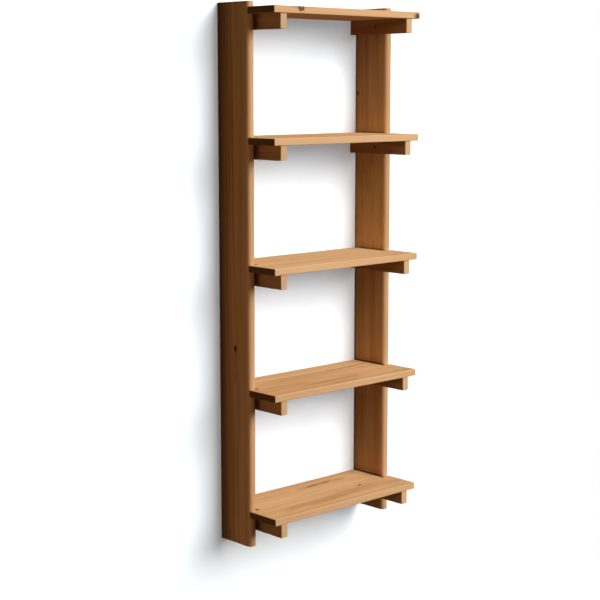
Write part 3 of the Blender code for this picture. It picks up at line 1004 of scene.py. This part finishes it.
def black_steel_material():
    """Blackened steel, worn brighter at the rim of the head."""
    material, nodes, shader = new_material("screw_steel_blackened")
    place = nodes.place()
    cloud = nodes.noise(place, scale=900.0, detail=FINE_DETAIL)
    grit = nodes.noise(place, scale=5200.0)
    radius = nodes.vector("LENGTH", nodes.join(*nodes.split(place)[:2]))
    ragged = nodes.scaled(cloud, STEEL_RIM_RAGGED, radius)
    rim = nodes.step(ragged, *STEEL_RIM)
    base = nodes.mix(cloud, BLACK_STEEL, BROWN_STEEL)
    base = nodes.mix(rim, base, WORN_STEEL)
    rough = nodes.between(grit, *STEEL_ROUGHNESS)
    set_surface(nodes, shader, base, rough, nodes.bump(grit, strength=0.2, distance=0.00005))
    nodes.feed(shader.inputs["Metallic"], 1.0)
    return material


def zinc_material(name, tint):
    """Zinc-plated steel with rolling lines, cloudy passivation and scuffs."""
    material, nodes, shader = new_material(name)
    place = nodes.place()
    lines = nodes.noise(nodes.vector("MULTIPLY", place, ZINC_LINE_SCALES))
    cloud = nodes.noise(place, scale=260.0, detail=4.0, roughness=FINE_ROUGHNESS)
    scuff = nodes.noise(nodes.vector("MULTIPLY", place, ZINC_SCUFF_SCALES), detail=1.0)
    scuff = nodes.step(scuff, *ZINC_SCUFFS)
    base = nodes.mix(cloud, *[toned(tint, tone) for tone in ZINC_TONES])
    base = nodes.mix(scuff, base, SCUFFED_ZINC)
    rough = nodes.scaled(cloud, ZINC_CLOUD_ROUGHNESS, nodes.between(lines, *ZINC_ROUGHNESS))
    set_surface(nodes, shader, base, rough, nodes.bump(lines, strength=0.15, distance=0.00004))
    nodes.feed(shader.inputs["Metallic"], 1.0)
    return material


# Marks that the photograph shows on single boards
SHELF_MARKS = {
    1: (
        [Knot((0.175, -0.177, 0.131), "Z", 0.005, 0.012, 0.9, 0.0, 0.85)],
        [
            Streak((-0.06, -0.059), (0.23, -0.064), 0.015, 0.45, "+Z"),
            Streak((0.0, -0.06), (0.14, -0.063), 0.009, 0.75, "+Z"),
            Streak((-0.26, -0.062), (-0.06, -0.06), 0.008, 0.25, "+Z"),
            Streak((-0.32, -0.256), (0.33, -0.188), 0.036, 0.27, "+Z"),
        ],
    ),
    2: (
        [],
        [
            Streak((-0.23, -0.095), (0.16, -0.093), 0.014, 0.3, "+Z"),
            Streak((0.06, -0.094), (0.316, -0.086), 0.008, 0.85, "+Z"),
            Streak((-0.265, -0.08), (-0.18, -0.097), 0.006, 0.35, "+Z"),
            Streak((-0.18, -0.227), (0.15, -0.229), 0.02, 0.34, "+Z"),
            Streak((-0.08, -0.265), (0.09, -0.265), 0.012, 0.34, "+Z"),
        ],
    ),
    5: (
        [
            Knot((-0.2325, -0.293, 1.8755), "Y", 0.0088, 0.06, 0.1, 0.0, 0.9),
            Knot((0.341, -0.293, 1.8665), "Y", 0.009, 0.04, 0.05, 0.55, 0.4),
        ],
        [
            Streak((-0.29, 1.8765), (-0.235, 1.8785), 0.0016, 0.8, "-Y"),
            Streak((-0.225, 1.879), (-0.17, 1.8775), 0.0014, 0.6, "-Y"),
        ],
    ),
}

# Added depth of colour of single shelves, and the uprights' figure and their heartwood with painted
# shade by the wall
SHELF_DEPTHS = {1: 0.09, 3: -0.11}
# heart is the strength of the heartwood and of the painted shade by the wall at the rear
UPRIGHT_LOOKS = {
    "left": {"figure": 1.55, "heart_depth": 0.085, "heart": 0.86},
    "right": {"figure": 1.05, "heart_depth": 0.016, "heart": 0.70},
}
UPRIGHT_MARKS = {
    "left": (
        [Knot((-0.354, -0.084, 0.706), "X", 0.006, 0.015, 0.95, 0.0, 0.85)],
        [
            Streak((0.57, -0.08), (0.735, -0.085), 0.006, 0.65, "-X"),
            Streak((0.0, -0.049), (0.04, -0.05), 0.006, 0.8, "-X"),
            Streak((1.0, -0.073), (1.78, -0.078), 0.0055, 0.45, "-X"),
            Streak((1.12, -0.058), (1.64, -0.061), 0.005, 0.35, "-X"),
        ],
    ),
    "right": (
        [Knot((0.32, -0.0135, 1.59), "X", 0.0042, 0.01, 0.4, 0.0, 0.45)],
        [
            Streak((1.285, -0.077), (1.365, -0.077), 0.0045, 0.45, "-X"),
            Streak((1.455, -0.014), (1.58, -0.015), 0.0045, 0.35, "-X"),
            Streak((0.93, -0.08), (1.53, -0.08), 0.16, 0.7, "-X", SAPWOOD),
            Streak((-0.3, -0.08), (0.64, -0.08), 0.16, 0.1, "-X"),
        ],
    ),
}


# Steps that keep the figures of the boards apart
GOLDEN_STEP = 0.618034
BEARER_STEP = 7
SEED_STEP = 7.31


def spread(index, low, high):
    """An even, unordered spread of values between two limits."""
    return low + (high - low) * (index * GOLDEN_STEP % 1.0)


def shelf_board(level):
    """The figure of a shelf: a wide board with its pith below it."""
    knots, streaks = SHELF_MARKS.get(level, ((), ()))
    return Board(
        node=f"shelf_{level}",
        grain="X",
        pith=(spread(level, -0.10, 0.10), spread(level + 3, -0.16, -0.07)),
        spacing=spread(level, 0.0032, 0.0046),
        pale_depth=0.005, pale=0.42, figure=0.75, deep=SHELF_DEPTHS.get(level, 0.0), ends=0.90,
        knots=knots, streaks=streaks,
    )


def upright_board(side):
    """The figure of an upright: straight grain, with its pith beyond the rear edge."""
    knots, streaks = UPRIGHT_MARKS[side]
    return Board(
        node=f"{side}_upright",
        grain="Z",
        pith=(0.16, SIDES[side] * 0.05),
        spacing=0.0042,
        pale_depth=0.022, pale=0.42, tone=0.97, ends=0.4, knots=knots, streaks=streaks,
        **UPRIGHT_LOOKS[side],
    )


def bearer_board(side, level):
    """The figure of a bearer: rings that stand upright in its front end."""
    index = level + BEARER_STEP * SIDES[side]
    return Board(
        node=f"{side}_bearer_{level}",
        grain="Y",
        pith=(spread(index, -0.05, 0.05), SIDES[side] * spread(index + 2, 0.09, 0.16)),
        spacing=spread(index, 0.0034, 0.0060),
        pale_depth=0.004, pale=0.92, tone=spread(index + 4, 0.74, 0.84),
    )


def dress():
    """Makes every visible piece with its finish."""
    screw_steel = black_steel_material()
    plate_steel = zinc_material("plate_zinc", PLATE_ZINC)
    plate_screw_steel = zinc_material("plate_screw_zinc", PLATE_SCREW_ZINC)
    beech = beech_material()
    seed = 0.0
    for level in LEVELS:
        seed += SEED_STEP
        make_shelf(level, pine_material(shelf_board(level), seed))
    for side in SIDES:
        seed += SEED_STEP
        make_upright(side, pine_material(upright_board(side), seed))
        make_plate(side, plate_steel)
        for node in plate_screw_nodes(side):
            make_plate_screw(node, plate_screw_steel)
        for level in LEVELS:
            seed += SEED_STEP
            make_bearer(side, level, pine_material(bearer_board(side, level), seed))
            make_bearer_screw(side, level, screw_steel)
            frame["nodes"][f"{side}_bearer_dowel_{level}"].material_slots[0].material = beech


# Stage
FLOOR_HEIGHT = -0.60
COVE_RADIUS = 0.35
COVE_STEPS = 24
WALL_BACK = 0.001
WALL_TOP = 5.0
FLOOR_REACH = 12.0
STAGE_HALF_LENGTH = 12.0
SHADOW_REACH = 1.6
WALL_BOUNCE = (0.030, 0.025, 0.018)
WALL_SHOWN = (0.80, 0.80, 0.80)
AMBIENT = (0.015, 0.011, 0.007)
WHITE = (1.0, 1.0, 1.0)


def stage_profile():
    """Side view of the backdrop: a wall that runs down into a floor."""
    points = [(WALL_BACK, WALL_TOP)]
    for step in range(COVE_STEPS + 1):
        angle = QUARTER_TURN * step / COVE_STEPS
        depth = WALL_BACK - COVE_RADIUS * (1.0 - math.cos(angle))
        height = FLOOR_HEIGHT + COVE_RADIUS * (1.0 - math.sin(angle))
        points.append((depth, height))
    points.append((-FLOOR_REACH, FLOOR_HEIGHT))
    return points


def seen_ray(nodes):
    """1 for the rays that show the stage: from the camera, off a reflection or through glass."""
    path = nodes.add("ShaderNodeLightPath").outputs
    seen = nodes.math("MAXIMUM", path["Is Camera Ray"], path["Is Glossy Ray"])
    return nodes.math("MAXIMUM", seen, path["Is Transmission Ray"])


def backdrop_material():
    """White paint that keeps the unit's shadow, plain white farther off, and clear from behind."""
    material = bpy.data.materials.new("backdrop_white")
    material.use_nodes = True
    material.node_tree.nodes.clear()
    nodes = Nodes(material.node_tree)
    seen = seen_ray(nodes)
    paint = nodes.mix(seen, WALL_BOUNCE, WALL_SHOWN)
    painted = nodes.add("ShaderNodeBsdfDiffuse", paint).outputs[0]
    low, high = (Vector(corner) for corner in cad_bounds)
    place = nodes.place()
    local = nodes.vector("ABSOLUTE", nodes.vector("SUBTRACT", place, tuple((low + high) / 2)))
    beyond = nodes.vector("SUBTRACT", local, tuple((high - low) / 2))
    outside = nodes.vector("MAXIMUM", beyond, (0.0, 0.0, 0.0))
    away = nodes.step(nodes.vector("LENGTH", outside), SHADOW_REACH / 2, SHADOW_REACH)
    plain = nodes.add("ShaderNodeEmission").outputs[0]
    front = nodes.add("ShaderNodeMixShader", nodes.product(away, seen), painted, plain).outputs[0]
    behind = nodes.add("ShaderNodeNewGeometry").outputs["Backfacing"]
    clear = nodes.add("ShaderNodeBsdfTransparent").outputs[0]
    both = nodes.add("ShaderNodeMixShader", behind, front, clear).outputs[0]
    nodes.add("ShaderNodeOutputMaterial", both)
    return material


def make_backdrop():
    """A plain white wall behind the unit that curves into a pale floor."""
    shape = bmesh.new()
    rows = []
    for end in (-STAGE_HALF_LENGTH, STAGE_HALF_LENGTH):
        rows.append([shape.verts.new((end, y, z)) for y, z in stage_profile()])
    left, right = rows
    for corners in zip(left, left[1:], right[1:], right):
        shape.faces.new(corners)
    mesh = bpy.data.meshes.new("backdrop")
    shape.to_mesh(mesh)
    shape.free()
    backdrop = new_object("backdrop", mesh)
    mesh.shade_smooth()
    mesh.materials.append(backdrop_material())
    backdrop.visible_shadow = False


def make_world():
    """White behind the unit, and a low, slightly warm ambient light."""
    world = bpy.data.worlds.new("studio")
    bpy.context.scene.world = world
    world.use_nodes = True
    nodes = Nodes(world.node_tree)
    shown = nodes.mix(seen_ray(nodes), AMBIENT, WHITE)
    nodes.feed(world.node_tree.nodes["Background"].inputs["Color"], shown)


Lamp = namedtuple(
    "Lamp", "name direction distance width height level tint lights shaded_by", defaults=[None]
)

# Lamps light, or are shaded by, pieces whose names start like their group or as here
LAMP_GROUPS = {
    "unit": ("shelf", "left", "right"),
    "open_right": ("shelf", "left", "right_bearer", "right_hanger"),
    "low_left": ("left_upright", "left_bearer_1", "shelf_1"),
    "low_right": ("right_upright", "right_bearer_1"),
    "stage": "backdrop",
}
LAMP_TARGET = Vector((0.0, -0.1, 0.95))
AMBER = (1.0, 0.59, 0.30)
PALE_AMBER = (1.0, 0.80, 0.56)
SKY = (0.25, 0.80, 1.20)
PALE_SKY = (0.82, 1.0, 1.14)
LAMPS = (
    Lamp("key", (0.52, -1.0, 0.33), 11.0, 4.4, 6.0, 0.92, WHITE, "unit"),
    Lamp("shelf_tops", (0.0, -0.30, 1.0), 40.0, 14.0, 14.0, 0.63, WHITE, "shelf", "stage"),
    Lamp("left_top", (0.0, 0.0, 1.0), 40.0, 4.0, 4.0, 0.50, WHITE, "left_upright", "stage"),
    Lamp("right_top", (0.0, 0.0, 1.0), 40.0, 4.0, 4.0, 0.50, WHITE, "right_upright", "stage"),
    Lamp("left_fill", (-1.0, -0.40, -0.25), 5.0, 2.0, 2.0, 0.145, AMBER, "left_upright"),
    Lamp("bearer_fill", (-1.0, 1.05, -0.20), 5.0, 5.0, 2.0, 0.250, AMBER, "left_bearer"),
    Lamp("end_fill", (-1.0, -0.25, -0.30), 5.0, 2.0, 2.0, 0.068, AMBER, "shelf"),
    Lamp("right_fill", (-1.0, -1.0, 0.75), 9.0, 3.6, 3.6, 0.125, PALE_AMBER, "right"),
    Lamp("foot_fill", (-1.0, -0.40, -0.80), 5.0, 2.0, 2.0, 0.085, AMBER, "low_right"),
    Lamp("rear", (0.26, 1.0, 0.10), 7.0, 2.6, 2.6, 0.62, WHITE, "unit"),
    Lamp("wall_key", (0.46, -1.0, 0.50), 11.0, 8.4, 6.6, 1.24, WHITE, "stage"),
    Lamp("wall_bays", (0.46, -1.0, 0.66), 11.0, 8.4, 5.0, 0.40, PALE_SKY, "stage", "open_right"),
    Lamp("wall_sky", (0.46, -1.0, 1.20), 11.0, 8.4, 5.0, 0.175, SKY, "stage", "low_left"),
    Lamp("wall_fill", (-0.30, -1.0, 0.0), 9.0, 9.0, 7.0, 0.65, WHITE, "stage"),
    Lamp("floor_top", (0.0, 0.35, 1.0), 8.0, 4.0, 4.0, 1.15, WHITE, "stage"),
)


def lit_group(kind):
    """A collection of the pieces of one group."""
    group = bpy.data.collections.new("lit_" + kind)
    for item in bpy.context.scene.objects:
        if item.type == "MESH" and item.name.startswith(LAMP_GROUPS.get(kind, kind)):
            group.objects.link(item)
    return group


def make_lamps():
    """Softboxes whose level is the brightness they give a white face turned to them."""
    groups = {None: None}
    for lamp in LAMPS:
        for kind in (lamp.lights, lamp.shaded_by):
            if kind not in groups:
                groups[kind] = lit_group(kind)
        direction = Vector(lamp.direction).normalized()
        light = bpy.data.lights.new(lamp.name, "AREA")
        light.shape = "RECTANGLE"
        light.size = lamp.width
        light.size_y = lamp.height
        light.energy = lamp.level * (math.pi * lamp.distance) ** 2
        light.color = lamp.tint
        item = new_object(lamp.name, light)
        item.location = LAMP_TARGET + direction * lamp.distance
        item.rotation_euler = direction.to_track_quat("Z", "Y").to_euler()
        item.visible_camera = False
        item.light_linking.receiver_collection = groups[lamp.lights]
        item.light_linking.blocker_collection = groups[lamp.shaded_by]


def make_camera():
    """The camera at the photograph's place."""
    data = bpy.data.cameras.new("camera")
    data.lens = CAMERA_LENS
    data.sensor_width = CAMERA_SENSOR
    camera = new_object("camera", data)
    ahead = Vector((math.sin(CAMERA_YAW), math.cos(CAMERA_YAW), 0.0))
    right = Vector((math.cos(CAMERA_YAW), -math.sin(CAMERA_YAW), 0.0))
    place = Vector((0.0, CAMERA_TARGET_Y, 0.0)) - ahead * CAMERA_DISTANCE + right * CAMERA_SIDESTEP
    place.z = CAMERA_HEIGHT
    camera.location = place
    camera.rotation_euler = Euler((QUARTER_TURN - CAMERA_PITCH, 0.0, -CAMERA_YAW))
    bpy.context.scene.camera = camera


def main():
    """Dresses the frame, lights it and places the camera."""
    dress()
    make_backdrop()
    make_world()
    make_lamps()
    make_camera()
    bpy.context.scene.view_settings.view_transform = "Standard"


main()
